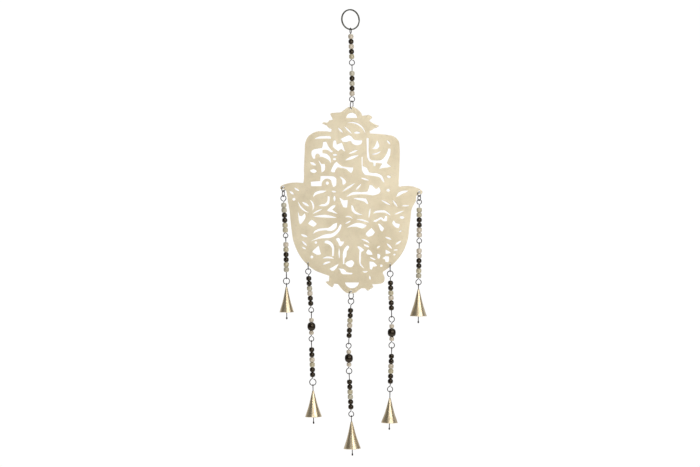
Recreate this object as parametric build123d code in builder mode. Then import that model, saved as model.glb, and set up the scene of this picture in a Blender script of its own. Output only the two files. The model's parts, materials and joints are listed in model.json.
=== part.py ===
from build123d import *
import os
from math import atan2, cos, radians, sin, tan

# Hamsa hand wall ornament: a pierced metal hand on a beaded chain, with five bead strings and bells.
# Millimetres. X is to the right, Z is up, and the front of the hand faces -Y.
# The origin is the middle of the split ring that the whole ornament hangs from.

os.makedirs("parts", exist_ok=True)

# Split ring, two turns of flat wire
ring_outer_width = 31.5
ring_band_width = 2.0
ring_band_thickness = 0.8
ring_turn_gap = 0.15
ring_turns = 1.92
ring_turned = 28
ring_seat = 0.25

# Round wire of the links, jump rings, hangers and clappers
wire_diameter = 1.25
wire_sides = 6
hang_clearance = 0.2
eye_width = 9.0
eye_sides = 9
eye_neck_share = 1.18
eye_end_angle = 247
ring_sides = 12
ring_mouth = 0.4

# Beads
bead_width = 8.1
bead_height = 7.4
large_bead_width = 12.4
large_bead_height = 12.5
spacer_width = 7.2
spacer_height = 6.3
bead_gap = 0.1
bead_sides = 8
bead_hole_clearance = 0.15
dark_corner_share = 0.26
light_corner_share = 0.16

# Bells, hangers and clappers
bell_width = 25.0
bell_height = 39.8
bell_apex_width = 2.4
bell_wall = 0.6
bell_waist_depth_share = 0.58
bell_waist_width_share = 0.54
bell_hole_clearance = 0.12
bell_seam_angle = 22
hanger_inner_width = 5.6
hanger_side_clearance = 0.3
clapper_eye_width = 5.6
clapper_below_rim = 11.0
clapper_tip_width = 2.5
clapper_tip_height = 4.0
clapper_tip_end_share = 0.6

# Pierced plate, drawn on squared paper with its zero at the top of the crown
plate_width = 214.5
plate_squares_across = 143
plate_thickness = 1.2
plate_hole_clearance = 0.35
square = plate_width / plate_squares_across

# Where the jump rings pass through the plate, in squares right of and below the zero
top_hole_shares = (-0.1, 1.6)
outer_left_hole_shares = (-68.0, 80.0)
inner_left_hole_shares = (-43.2, 155.6)
centre_hole_shares = (-0.2, 184.6)
inner_right_hole_shares = (38.8, 157.1)
outer_right_hole_shares = (67.9, 84.9)

# Each point is squares right, squares down, and how far the side that starts there bows out.
# The points run clockwise, seen from the front.
outline_shares = [
    (-4.5, 0.9, 1.0), (4.0, 0.9, 0.3), (9.7, 5.8, 0.2), (10.6, 8.6, -0.3),
    (17.0, 7.9, 0.3), (21.0, 10.2, 0.3), (18.5, 12.8, -0.2), (18.6, 14.3, -0.1),
    (23.5, 17.3, 0), (27.7, 18.8, 0.5), (23.0, 21.4, 0), (20.3, 23.2, 0.2),
    (18.5, 23.8, -0.2), (18.6, 26.5, 0), (30.0, 27.2, 0), (38.0, 28.2, 0.5),
    (44.0, 30.5, 1.2), (48.2, 38.5, 0.1), (48.4, 50.0, 0.1), (47.2, 79.0, -0.5),
    (50.0, 79.4, 0.1), (57.0, 79.0, 0.3), (64.0, 80.3, 0.4), (70.0, 83.4, 0.5),
    (71.0, 85.6, 0.4), (69.6, 86.9, 0.1), (66.4, 87.5, -0.3), (64.8, 90.0, -0.1),
    (64.7, 93.5, 0.1), (61.3, 99.5, 0), (60.0, 103.3, 0.1), (57.5, 124.0, 2.4),
    (47.0, 151.5, 0.9), (32.0, 164.5, -0.5), (32.0, 167.5, 0.4), (33.3, 172.5, 1.2),
    (28.5, 176.8, 0.2), (20.8, 177.3, 0), (22.0, 180.0, 0.2), (18.7, 182.2, 0),
    (16.8, 183.8, 0.2), (14.2, 181.7, -0.2), (10.0, 181.3, -0.2), (5.0, 185.3, 1.0),
    (-5.5, 185.6, 0.3), (-11.5, 179.5, -0.2), (-14.0, 176.9, 0), (-17.0, 176.8, 0),
    (-18.7, 180.2, 0.3), (-21.8, 178.8, 0.1), (-25.7, 175.2, 0.4), (-22.4, 174.3, 0),
    (-22.0, 168.9, 0.2), (-36.0, 163.7, 0.9), (-50.0, 151.0, 1.0), (-58.7, 131.0, 0.2),
    (-61.8, 103.0, 0), (-62.9, 97.0, 0.1), (-63.6, 93.0, 0.1), (-63.9, 90.4, 0),
    (-64.4, 87.0, 0), (-65.0, 84.0, -0.3), (-67.6, 82.3, 0), (-70.0, 82.2, 0.4),
    (-71.2, 80.6, 0.4), (-68.7, 78.0, 0.3), (-60.0, 75.8, 0.2), (-52.0, 75.7, 0),
    (-47.9, 76.1, -0.4), (-47.4, 63.0, 0), (-46.4, 38.0, 0.2), (-45.3, 33.5, 0.9),
    (-39.5, 26.8, 0.6), (-32.0, 24.3, 0.3), (-20.3, 25.0, -0.2), (-19.8, 22.1, -0.1),
    (-22.5, 21.0, 0.2), (-24.5, 18.6, 0), (-28.9, 16.8, 0.4), (-27.5, 15.2, 0),
    (-24.3, 15.8, -0.2), (-22.0, 13.4, -0.1), (-18.5, 12.6, 0), (-21.0, 7.4, 0.5),
    (-19.2, 6.1, 0.1), (-11.0, 5.5, -0.2),
]

# The openings of the crown, the palm and the base, each one a list of points as above
crown_opening_shares = [
    [(-5.0, 11.0, 5.2), (5.8, 11.0, 0)],
    [(-13.3, 20.8, 0.9), (-8.5, 25.8, 0.9)],
    [(-7.0, 19.5, 0.9), (0.6, 27.0, 0.7)],
    [(-4.5, 16.3, 5.5), (14.0, 26.8, -3.9)],
    [(2.4, 25.8, 1.2), (9.2, 25.8, 1.1)],
    [(-6.3, 175.5, 0), (7.6, 175.5, 5.8)],
]
upper_left_opening_shares = [
    [(-37.0, 32.2, 0.5), (-31.0, 29.3, 0.2), (-22.0, 29.1, 0.8), (-20.6, 31.8, -0.4)],
    [
        (-28.5, 35.4, 0.6), (-24.8, 35.2, -0.2), (-22.5, 40.0, -0.4), (-18.3, 44.4, 0.3),
        (-20.3, 45.5, -0.3), (-24.5, 42.8, -0.4), (-28.8, 43.2, 0), (-28.9, 46.3, 0.2),
        (-24.5, 47.0, 0.4), (-21.0, 51.2, 0.3), (-20.6, 56.2, -0.4), (-24.5, 52.0, -0.5),
        (-31.3, 49.8, -0.6), (-33.5, 46.7, -0.3), (-35.8, 48.0, -0.2), (-36.2, 51.6, 0.3),
        (-38.2, 51.4, 0.2), (-39.8, 48.0, 0.3), (-39.5, 44.0, 0.4), (-36.0, 42.2, 0.1),
        (-29.5, 41.0, -0.4),
    ],
    [(-41.2, 55.5, 1.3), (-35.3, 58.3, 1.2)],
    [(-41.2, 63.8, 1.9), (-34.6, 64.5, 1.8)],
    [(-18.6, 48.0, 1.1), (-14.0, 48.0, 1.0)],
    [(-18.4, 52.2, 1.1), (-15.0, 52.2, 1.0)],
    [
        (-33.2, 53.4, 0.3), (-30.2, 56.8, 0), (-26.6, 57.1, 0.4), (-26.7, 63.2, 0.4),
        (-29.8, 65.4, 0), (-30.2, 60.0, -0.3),
    ],
    [
        (-14.5, 54.8, -0.4), (-9.0, 59.4, -0.3), (1.6, 60.5, 0.3), (1.5, 63.5, 0.2),
        (-0.3, 66.2, 0.1), (-4.5, 62.6, -0.3), (-8.6, 61.2, 0), (-13.5, 60.3, -0.6),
        (-16.6, 65.3, 0.5), (-20.6, 64.4, 0.2), (-18.0, 58.5, 0.5),
    ],
    [
        (-17.6, 33.6, 0.4), (-15.3, 33.9, 0), (-14.6, 37.6, 0), (-9.7, 35.7, 0.3),
        (-6.2, 44.8, 0), (-9.8, 42.2, -0.4), (-13.0, 44.3, 0.2), (-18.3, 40.0, 0.4),
    ],
    [
        (-10.5, 32.0, 0.3), (-2.5, 28.3, 0.3), (0.8, 30.2, -0.3), (3.5, 33.0, -0.2),
        (10.7, 33.3, 0.4), (9.8, 37.0, 0.4), (5.5, 38.2, 0.3), (1.5, 36.9, 0.2),
        (-0.3, 34.2, -0.3), (-4.5, 35.0, 0.2), (-8.5, 34.9, 0.2),
    ],
    [(-2.5, 46.8, 1.0), (6.8, 43.0, 0.9)],
    [(-6.3, 53.3, 1.4), (7.3, 48.2, 1.4)],
]
upper_right_opening_shares = [
    [
        (15.2, 31.3, 0.3), (17.4, 31.2, 0), (17.3, 44.0, 0.1), (18.0, 50.5, -0.2),
        (20.0, 53.2, -0.3), (29.5, 53.3, -0.5), (34.5, 48.0, -0.3), (36.7, 41.9, 0.4),
        (39.2, 41.9, 0.2), (38.8, 48.0, 0), (35.5, 56.0, -0.3), (39.8, 59.4, 0.3),
        (34.0, 60.7, -0.2), (28.0, 62.0, 0.2), (31.0, 56.6, 0), (24.4, 55.8, 0),
        (24.2, 58.8, 0.5), (22.2, 58.7, 0), (22.0, 55.7, 0), (18.5, 54.8, 0.6),
        (15.7, 49.0, 0.1),
    ],
    [(25.6, 33.3, 0.4), (28.0, 39.0, 0.6), (25.3, 42.0, 0.3), (20.6, 41.8, -0.4), (23.8, 38.4, -0.2)],
    [(20.3, 47.1, -0.3), (29.4, 44.2, 1.8)],
    [(35.4, 33.3, 0.9), (39.0, 37.5, 0.8)],
    [
        (10.2, 50.0, 0.2), (11.2, 50.0, 0), (11.3, 59.0, -0.2), (15.0, 60.5, 0.3),
        (17.5, 65.2, -0.4), (24.5, 66.0, 0.3), (30.3, 68.6, 0.6), (33.0, 75.8, 0.4),
        (29.5, 71.8, -0.4), (26.0, 69.7, -0.2), (13.8, 68.0, 0.4), (10.5, 63.0, 0),
    ],
    [(35.4, 69.4, 1.3), (39.6, 70.3, 1.3)],
    [(9.4, 71.0, 0.9), (18.0, 73.5, 0.8)],
]
middle_opening_shares = [
    [
        (-40.5, 74.8, 0), (-31.0, 74.0, 0), (-30.8, 69.2, 0.2), (-19.0, 69.2, 0.6),
        (-15.0, 72.0, 0.2), (-15.2, 78.0, 0.5), (-18.0, 80.0, 0.3), (-20.0, 74.0, -0.7),
        (-24.5, 71.7, -0.9), (-29.3, 75.5, -0.2), (-29.7, 79.2, 0), (-40.0, 79.3, 0.2),
    ],
    [(-25.7, 76.2, 1.6), (-22.4, 76.2, 1.5)],
    [(-11.8, 69.6, 0.3), (-8.0, 71.3, 0.3), (-5.2, 75.0, 0.7), (-8.5, 77.8, 0.2), (-9.0, 73.8, -0.2)],
    [(-38.2, 90.2, 0.7), (-35.5, 84.9, 0.9), (-25.0, 84.0, 0.4), (-31.5, 86.5, -0.7)],
    [(-9.0, 84.7, 1.0), (3.6, 76.2, 0.9)],
    [(4.2, 83.3, 0.8), (10.0, 76.8, 0.9)],
    [
        (-5.2, 90.2, 0.4), (1.0, 85.3, 0.4), (10.0, 85.2, 0), (16.0, 84.6, -0.3),
        (18.0, 78.4, 0.4), (21.0, 78.5, -0.1), (24.3, 81.9, -0.4), (27.3, 80.2, 0.5),
        (29.2, 84.5, 0.3), (27.0, 87.0, 0.2), (21.5, 88.5, 0), (15.0, 87.5, -0.4),
        (2.5, 87.8, -0.3),
    ],
    [(-57.2, 80.9, 0.9), (-52.0, 84.0, 0.8)],
    [(-61.8, 84.3, 1.1), (-57.5, 87.5, 1.0)],
    [(-58.9, 92.3, 1.5), (-55.9, 92.3, 1.5)],
    [(35.0, 83.3, 1.5), (38.7, 83.5, 1.4)],
    [(44.8, 90.2, 0.3), (47.3, 85.4, 0.8), (57.0, 83.7, 0.4), (52.5, 86.2, -0.2), (48.5, 88.6, -0.2)],
]
lower_left_opening_shares = [
    [(-53.2, 94.6, -1.2), (-42.5, 105.6, 2.8)],
    [(-49.3, 95.0, 1.1), (-42.1, 99.4, 1.1)],
    [(-41.5, 93.0, 2.9), (-38.8, 103.4, -1.2)],
    [
        (-53.5, 104.5, 0.2), (-52.0, 108.6, 0), (-49.9, 109.2, -0.3), (-46.8, 106.3, 0.3),
        (-45.8, 110.0, 0.4), (-49.0, 115.5, 0.2), (-51.4, 117.3, 0.4), (-52.8, 111.0, 0),
    ],
    [(-38.7, 107.0, 1.1), (-29.0, 102.2, 0.3)],
    [(-38.0, 109.8, 2.5), (-14.5, 111.0, 0.2)],
    [(-43.3, 116.5, 0.3), (-39.5, 112.7, 0.3), (-34.6, 117.0, 0.4), (-38.0, 119.8, 0.3)],
    [
        (-23.7, 89.4, 0.4), (-21.6, 90.0, 0.1), (-22.0, 95.8, 0.9), (-27.0, 99.3, 0.2),
        (-32.8, 98.6, 0.3), (-27.0, 97.1, -0.4), (-24.0, 94.0, -0.2),
    ],
    [(-17.0, 88.7, 1.1), (-16.7, 94.5, 1.1)],
    [
        (-24.5, 103.7, 0.3), (-19.0, 98.7, 0.2), (-15.8, 98.3, 0.5), (-19.0, 102.5, -0.2),
        (-13.6, 106.7, 0.4), (-19.5, 105.2, 0.2),
    ],
    [(-19.8, 84.3, 0.9), (-15.0, 85.0, 0.8)],
    [(-11.8, 90.7, 0.2), (-8.0, 93.2, -0.2), (-3.7, 92.9, 0.2), (-4.3, 100.5, 0.3), (-8.0, 100.2, 0.3)],
    [
        (-38.5, 127.0, 0.2), (-36.0, 123.5, 0.5), (-30.0, 121.4, 0), (-23.5, 121.0, -0.5),
        (-18.0, 117.0, 0), (-14.3, 115.8, 0.5), (-15.2, 121.0, 0.5), (-20.0, 124.0, 0.3),
        (-25.0, 123.4, -0.2), (-32.0, 124.0, -0.3),
    ],
    [
        (-40.7, 134.4, 0.2), (-33.0, 130.4, 0.1), (-28.0, 128.0, 0.3), (-20.5, 126.7, -0.3),
        (-15.5, 124.0, -0.4), (-12.3, 119.0, -0.2), (-11.3, 117.3, 0.4), (-9.8, 118.6, 0.2),
        (-11.5, 123.5, 0.3), (-16.0, 128.4, 0.5), (-22.5, 131.0, 0.1), (-30.0, 131.4, -0.3),
    ],
    [(-50.5, 127.5, 1.0), (-43.6, 129.9, 1.2)],
    [(-49.6, 133.8, 0.9), (-44.2, 138.9, 0.9)],
    [(-49.3, 140.0, 0.8), (-45.2, 142.3, 0.7)],
    [(-36.7, 135.6, 1.2), (-34.1, 135.6, 1.2)],
    [
        (-26.6, 134.2, 0.3), (-23.0, 133.6, 0.5), (-18.5, 137.0, 0.4), (-17.2, 142.0, 0.1),
        (-17.7, 149.0, 0.3), (-19.2, 149.0, 0), (-19.2, 142.0, -0.3), (-21.5, 138.1, -0.3),
        (-26.0, 136.3, 0.5),
    ],
    [
        (-33.0, 138.7, 0.3), (-31.8, 142.5, 0), (-30.3, 147.2, 0.3), (-34.5, 147.8, 0.2),
        (-39.0, 145.0, 0.4), (-36.3, 142.0, 0),
    ],
    [(-41.0, 150.0, 1.4), (-38.0, 150.0, 1.4)],
]
lower_middle_opening_shares = [
    [(-28.8, 151.6, 2.3), (-17.2, 151.9, -0.4)],
    [(-28.5, 157.9, 1.7), (-20.4, 155.0, 0.4)],
    [(-21.8, 161.8, 0.1), (-17.5, 159.5, 0.2), (-12.8, 157.0, 0.3), (-16.0, 162.3, 0.4), (-19.0, 164.0, 0.3)],
    [
        (-13.0, 130.7, 0.5), (-11.0, 134.2, -0.2), (-7.3, 134.5, 0.4), (-9.0, 138.0, 0.2),
        (-11.0, 139.5, 0.4), (-13.0, 136.0, -0.1), (-15.5, 132.5, 0.4),
    ],
    [(-12.3, 141.0, 0.7), (-12.0, 151.6, 0.7)],
    [
        (-4.0, 138.5, 0.4), (-2.0, 140.0, 0.2), (-4.7, 144.5, 0.1), (-5.0, 149.0, 0.2),
        (-6.7, 151.5, -0.1), (-7.0, 157.2, 0.2), (-8.3, 157.0, 0), (-8.6, 147.5, 0.3),
        (-7.0, 142.0, 0.2),
    ],
    [
        (-6.2, 156.8, 0.3), (-3.5, 154.3, 0.2), (0.5, 153.2, 0.4), (2.8, 156.0, 0.3),
        (0.8, 159.8, 0.5), (-3.0, 159.8, 0.3),
    ],
    [
        (-12.9, 161.6, 0.2), (-8.3, 161.9, 0.4), (-5.0, 165.0, -0.2), (1.0, 166.0, 0.4),
        (0.3, 167.4, 0.1), (-8.5, 167.2, 0.5), (-10.8, 164.3, -0.2),
    ],
    [(11.2, 164.4, 0.2), (16.4, 164.4, 1.3)],
    [(18.2, 168.6, 0.8), (18.9, 173.0, 0.8)],
]
lower_right_opening_shares = [
    [(2.0, 91.4, 0.3), (8.0, 91.0, 0), (14.5, 91.5, 0.3), (17.0, 97.0, 0.5), (14.3, 95.7, -0.4), (9.0, 93.6, 0.1)],
    [(0, 98.2, 0.3), (1.8, 99.3, -0.2), (4.0, 104.2, -0.4), (11.4, 107.8, 0.4), (4.3, 107.0, 0.6), (0.4, 103.0, 0.2)],
    [(18.9, 101.2, 0.8), (17.4, 111.0, 0.7)],
    [(-6.3, 110.3, 2.2), (1.4, 112.0, -0.8)],
    [(-6.2, 116.9, 0.6), (-0.3, 113.7, 0.7)],
    [(5.0, 112.3, 1.6), (18.2, 115.8, 0.2)],
    [(-4.5, 120.8, 0.3), (2.5, 116.8, 0.4), (8.5, 115.9, 0.3), (15.4, 118.4, 0.5), (10.8, 121.5, 0.2), (5.5, 119.8, -0.4)],
    [(22.0, 106.5, 0.6), (25.5, 103.7, 0.2), (33.0, 103.3, 0.6), (39.4, 108.4, 0.3), (34.5, 106.0, -0.4), (26.0, 105.8, 0)],
    [
        (21.7, 114.3, 0.3), (26.5, 112.0, 0.2), (29.7, 110.1, 0.3), (32.5, 112.5, -0.1),
        (33.8, 109.2, 0.3), (35.7, 109.3, 0.1), (35.6, 114.0, 0.4), (31.3, 113.9, -0.2),
        (29.3, 112.3, -0.2), (25.0, 114.9, 0.3),
    ],
    [(42.8, 107.6, 0.8), (52.8, 103.8, 0.7)],
    [(29.8, 93.2, 0.9), (39.3, 98.3, 0.8)],
    [(41.3, 93.0, 0.8), (46.3, 100.2, 0.8)],
    [(50.3, 98.9, 0.8), (58.0, 98.8, 0.6)],
    [(48.2, 110.3, 1.3), (53.2, 110.6, 1.5)],
    [
        (42.2, 113.6, 0.4), (44.0, 116.0, -0.1), (48.3, 117.0, 0.5), (47.0, 121.2, 0.3),
        (43.2, 119.5, 0.2), (41.0, 116.5, 0.4),
    ],
    [(26.8, 116.9, 0.4), (29.5, 117.8, 0), (32.6, 121.3, 0.3), (30.8, 124.6, 0.3), (28.5, 122.3, 0)],
    [
        (20.0, 121.0, 0.3), (23.5, 125.3, 0.3), (21.0, 128.5, 0.2), (16.8, 129.8, 0.4),
        (14.4, 126.8, 0.2), (16.5, 124.3, 0),
    ],
    [(33.8, 130.1, 1.0), (40.3, 132.6, 0.9)],
    [(9.8, 132.4, 1.7), (18.3, 136.4, 0)],
    [(44.0, 137.6, 0.9), (50.0, 133.8, 1.1)],
    [(47.8, 125.0, 0.7), (50.4, 123.7, 0.6)],
    [(12.4, 137.6, 1.1), (18.0, 140.3, 0.9)],
    [
        (5.8, 140.0, 0.4), (8.2, 139.5, 0.1), (12.7, 142.8, 0.4), (10.0, 144.8, -0.2),
        (9.6, 151.0, 0), (9.3, 156.0, -0.3), (13.2, 161.5, 0.3), (9.0, 158.5, 0.3),
        (7.8, 153.5, 0.1), (8.0, 147.0, 0.1), (8.2, 143.4, -0.2),
    ],
    [(16.8, 142.4, 0.4), (20.5, 145.8, 0.2), (21.0, 147.9, 0.1), (16.5, 147.6, 0.2), (14.8, 145.8, 0.2)],
    [(18.3, 150.3, 0.8), (24.7, 153.2, 0.7)],
    [(26.0, 146.8, 0.3), (29.0, 148.0, 0.3), (28.0, 151.5, 0.3), (26.2, 151.0, 0.1)],
    [
        (18.1, 154.6, 0.2), (21.8, 154.9, 0.3), (25.8, 158.8, 0.3), (22.0, 159.6, -0.2),
        (20.6, 162.5, 0.3), (18.6, 162.0, 0.1),
    ],
    [(28.8, 158.8, 1.2), (31.2, 158.8, 1.2)],
    [(25.3, 141.1, 0.8), (28.8, 139.0, 0.8)],
    [(34.3, 142.6, 0.2), (39.6, 145.8, 0.3), (34.5, 146.8, 0.2)],
    [
        (31.3, 151.4, 0.2), (34.2, 149.4, 0.1), (37.6, 149.5, 0.3), (37.2, 154.8, 0.3),
        (34.2, 154.9, 0.1), (33.8, 152.8, -0.1),
    ],
    [(35.3, 136.3, 1.0), (40.7, 141.8, 1.0)],
    [(42.2, 143.2, 0.7), (46.7, 142.9, 0.6)],
    [(42.0, 147.5, 0.9), (44.4, 147.7, 0.9)],
]

# Bead patterns, from the top: D dark, L light, S small light spacer, B large dark
# A link is (upper eye share, upper neck share, beads, lower neck share, lower eye share,
# upper eye turn, lower eye turn, lean). Shares are of the eye width, a turn of 0 shows the eye
# from the front, and a lean in degrees brings the lower end to the right.
top_chain_shares = [
    ("top_link_1", (1.03, 0, "LDLDL", 0.05, 1.0, 105, 0, 2.4)),
    ("top_link_2", (1.0, 0.14, "LDLDL", 0, 1.0, 90, 0, 0)),
]
top_jump_ring_shares = (1.433, 70, -7.0)

# Jump rings are (width share of the eye width, turn, lean), bells are (width share, height share,
# upper eye share, neck share, upper eye turn, lean, seam turn).
string_shares = {
    "outer_left": {
        "hole": outer_left_hole_shares,
        "rings": [("thumb_ring", (0.889, 45, 0)), ("lower_ring", (1.167, -68, 0))],
        "links": [
            (1.0, 0.2, "LLDDLL", 0, 0.9, 0, 0, 3.4),
            (0.9, 0, "LLDDLL", 0.17, 1.0, 90, 90, 1.0),
        ],
        "drop_ring": (1.167, 0, 0),
        "bell": (0.87, 0.95, 0.62, 0.08, 90, 0.5, 262),
    },
    "inner_left": {
        "hole": inner_left_hole_shares,
        "rings": [("jump_ring", (1.333, 90, 0))],
        "links": [
            (1.03, 0.19, "DDLLDD", 0.18, 0.95, 0, 0, 4.4),
            (0.93, 0.18, "SBS", 0.17, 0.93, 90, 0, 0),
            (1.0, 0.17, "DDLLDD", 0.16, 1.2, 90, 0, 2.0),
        ],
        "drop_ring": None,
        "bell": (1.0, 0.98, 0.93, 0.15, 90, 1.0, 250),
    },
    "centre": {
        "hole": centre_hole_shares,
        "rings": [("jump_ring", (1.444, 55, 0))],
        "links": [
            (1.08, 0.53, "DDLLDD", 0.14, 0.93, 0, 90, -3.2),
            (0.97, 0.14, "SBS", 0.15, 1.07, 0, 0, 1.0),
            (0.97, 0.15, "DDLLDD", 0.25, 0.97, 90, 0, 3.0),
        ],
        "drop_ring": None,
        "bell": (1.03, 1.02, 0.8, 0.23, 90, 1.5, 268),
    },
    "inner_right": {
        "hole": inner_right_hole_shares,
        "rings": [("jump_ring", (1.444, 90, 0))],
        "links": [
            (1.1, 0.5, "DDLLDD", 0.23, 0.97, 0, 90, 2.0),
            (1.05, 0.23, "SBS", 0.13, 1.07, 0, 0, 0),
            (1.0, 0.13, "DDLLDD", 0.36, 1.0, 90, 0, -2.3),
        ],
        "drop_ring": None,
        "bell": (1.0, 0.93, 0.87, 0.36, 90, -1.0, 285),
    },
    "outer_right": {
        "hole": outer_right_hole_shares,
        "rings": [("thumb_ring", (0.9, 45, 0)), ("lower_ring", (1.0, -60, 0))],
        "links": [
            (0.9, 0.44, "LLDDLL", 0.06, 0.93, 0, 0, 0),
            (0.97, 0.06, "LLDDLL", 0.08, 1.03, 90, 0, -1.0),
        ],
        "drop_ring": None,
        "bell": (1.02, 1.02, 0.83, 0.07, 90, -0.3, 290),
    },
}

# Worked out from the sizes above
wire_radius = wire_diameter / 2
hang_step = wire_diameter + hang_clearance
eye_step = 360 / eye_sides
corner_share = 1 / cos(radians(eye_step / 2))
bead_hole_radius = (wire_radius + bead_hole_clearance) / cos(radians(180 / wire_sides))
ring_mean_radius = (ring_outer_width - ring_band_width) / 2
front = Vector(0, 1, 0)
supports = {}


def down_along(lean):
    """The direction in which a leaning piece hangs."""
    return Vector(sin(radians(lean)), 0, -cos(radians(lean)))


def face_plane(point, lean, turn):
    """A drawing plane at a point: its Y runs up the leaning piece, turned about that line."""
    up = down_along(lean) * -1
    right = Vector(-up.Z * -1, 0, up.X * -1)
    across = right * cos(radians(turn)) + front * sin(radians(turn))
    return Plane(origin=point, x_dir=across, z_dir=across.cross(up))


def level_plane(point, lean):
    """A plane square to the leaning piece, with its normal up the piece."""
    up = down_along(lean) * -1
    return Plane(origin=point, x_dir=front.cross(up), z_dir=up)


def eye_radius(width):
    """From the middle of an eye to the middle of its wire."""
    return (width - wire_diameter) / 2


def eye_neck(width):
    """From the middle of an eye to where its wire starts to bend off the shaft."""
    return eye_radius(width) * corner_share * eye_neck_share


def eye_path(reach, width):
    """A shaft that runs up to an eye and round it, drawn in the eye's own plane."""
    radius = eye_radius(width) * corner_share
    middle = reach + eye_neck(width)
    angles = [90 - 3.5 * eye_step + step * eye_step for step in range(7)] + [eye_end_angle]
    loop = [
        (radius * cos(radians(angle)), middle + radius * sin(radians(angle)))
        for angle in angles
    ]
    return [(0, 0), (0, reach)] + loop


def bent_wire(label, place, lean, ends):
    """One length of wire with an eye or a plain end at each end of its shaft.

    ends holds (turn, reach, width) for the upper end and for the lower end.
    """
    with BuildPart() as wire:
        for side, (turn, reach, width) in zip((0, 180), ends):
            plane = face_plane(place, lean + side, turn)
            points = eye_path(reach, width) if width else [(0, 0), (0, reach)]
            with BuildLine(plane) as path:
                Polyline(*points)
            with BuildSketch(Plane(origin=place, x_dir=plane.x_dir, z_dir=plane.y_dir)):
                RegularPolygon(wire_radius, wire_sides)
            sweep(path=path.wires()[0], transition=Transition.RIGHT)
    wire.part.label = label
    return wire


def jump_ring(label, middle, lean, turn, width):
    """A ring of wire with its butted ends at one side."""
    radius = eye_radius(width)
    step = 360 / ring_sides
    corner = radius / cos(radians(step / 2))
    angles = [step / 2 + count * step for count in range(ring_sides)]
    with BuildPart() as ring:
        plane = face_plane(middle, lean, turn)
        round_points = [(corner * cos(radians(a)), corner * sin(radians(a))) for a in angles]
        with BuildLine(plane) as path:
            Polyline((radius, ring_mouth / 2), *round_points, (radius, -ring_mouth / 2))
        start = path.wires()[0] @ 0
        with BuildSketch(Plane(origin=start, x_dir=plane.x_dir, z_dir=plane.y_dir)):
            RegularPolygon(wire_radius, wire_sides)
        sweep(path=path.wires()[0], transition=Transition.RIGHT)
    ring.part.label = label
    return ring


# Height, width and share of the width that is cut off the corners of each kind of bead
bead_kinds = {
    "D": (bead_height, bead_width, dark_corner_share),
    "L": (bead_height, bead_width, light_corner_share),
    "S": (spacer_height, spacer_width, light_corner_share),
    "B": (large_bead_height, large_bead_width, dark_corner_share),
}


def beads_length(pattern):
    """The length of a row of beads, with a small gap before, between and after them."""
    return sum(bead_kinds[kind][0] + bead_gap for kind in pattern) + bead_gap


def bead_row(label, top, lean, pattern):
    """A row of bored beads on one shaft, each one a solid of its own."""
    plane = level_plane(top, lean)
    with BuildPart() as beads:
        depth = bead_gap
        for kind in pattern:
            height, width, corner_cut = bead_kinds[kind]
            with BuildSketch(plane.offset(-depth)):
                RegularPolygon(width / 2, bead_sides)
            extrude(amount=-height)
            rims = [edge for edge in edges(Select.LAST) if abs((edge % 0.5).dot(plane.z_dir)) < 0.5]
            chamfer(rims, length=width * corner_cut)
            depth += height + bead_gap
        with BuildSketch(plane):
            RegularPolygon(bead_hole_radius, wire_sides)
        extrude(amount=-depth, mode=Mode.SUBTRACT)
    beads.part.label = label
    return beads


def hang(name, point, lean, turn=0, width=0):
    """Notes where a piece hangs, so that its joint can be stated from the same sizes."""
    supports[name] = (point, lean, turn, width)


def keep(piece):
    """Writes a finished piece under its own name."""
    export_step(piece.part, f"parts/{piece.part.label}.step")


# Split ring
ring_pitch = ring_band_thickness + ring_turn_gap
with BuildPart() as split_ring:
    ring_plane = Plane(
        origin=down_along(0) * 0,
        x_dir=Vector(cos(radians(ring_turned)), sin(radians(ring_turned)), 0),
        z_dir=Vector(sin(radians(ring_turned)), -cos(radians(ring_turned)), 0),
    )
    ring_back = ring_plane.offset(-ring_pitch * ring_turns / 2).origin
    with BuildLine() as ring_path:
        Helix(
            pitch=ring_pitch,
            height=ring_pitch * ring_turns,
            radius=ring_mean_radius,
            center=ring_back,
            direction=ring_plane.z_dir,
        )
    ring_start = ring_path.edges()[0] @ 0
    ring_along = ring_path.edges()[0] % 0
    ring_out = (ring_start - ring_back).normalized()
    with BuildSketch(Plane(origin=ring_start, x_dir=ring_out, z_dir=ring_along)):
        Rectangle(ring_band_width, ring_band_thickness)
    sweep(path=ring_path.wires()[0], is_frenet=True)
split_ring.part.label = "split_ring"
keep(split_ring)


def hang_link(name, point, link):
    """Makes a link that hangs from a point of wire, and returns the point that the next one hangs from."""
    upper_share, upper_neck_share, pattern, lower_neck_share, lower_share, upper_turn, lower_turn, lean = link
    upper_width = eye_width * upper_share
    lower_width = eye_width * lower_share
    along = down_along(lean)
    upper_middle = point + along * (eye_radius(upper_width) - hang_step)
    beads_top = upper_middle + along * (eye_neck(upper_width) + eye_width * upper_neck_share)
    length = beads_length(pattern)
    middle = beads_top + along * (length / 2)
    upper_reach = length / 2 + eye_width * upper_neck_share
    lower_reach = length / 2 + eye_width * lower_neck_share
    wire = bent_wire(
        f"{name}_wire",
        middle,
        lean,
        ((upper_turn, upper_reach, upper_width), (lower_turn, lower_reach, lower_width)),
    )
    keep(wire)
    keep(bead_row(f"{name}_beads", beads_top, lean, pattern))
    hang(f"{name}_wire", point, lean, upper_turn, upper_width)
    hang(f"{name}_beads", beads_top, lean)
    return middle + along * (lower_reach + eye_neck(lower_width) + eye_radius(lower_width))


def hang_ring(name, point, ring, in_plate=False):
    """Makes a jump ring on a point of wire, or through a hole of the plate, and returns its lowest point."""
    width_share, turn, lean = ring
    width = eye_width * width_share
    along = down_along(lean)
    rise = 0 if in_plate else hang_step
    middle = point + along * (eye_radius(width) - rise)
    keep(jump_ring(name, middle, lean, turn, width))
    hang(name, point, lean, turn, width)
    return middle + along * eye_radius(width)


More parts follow.
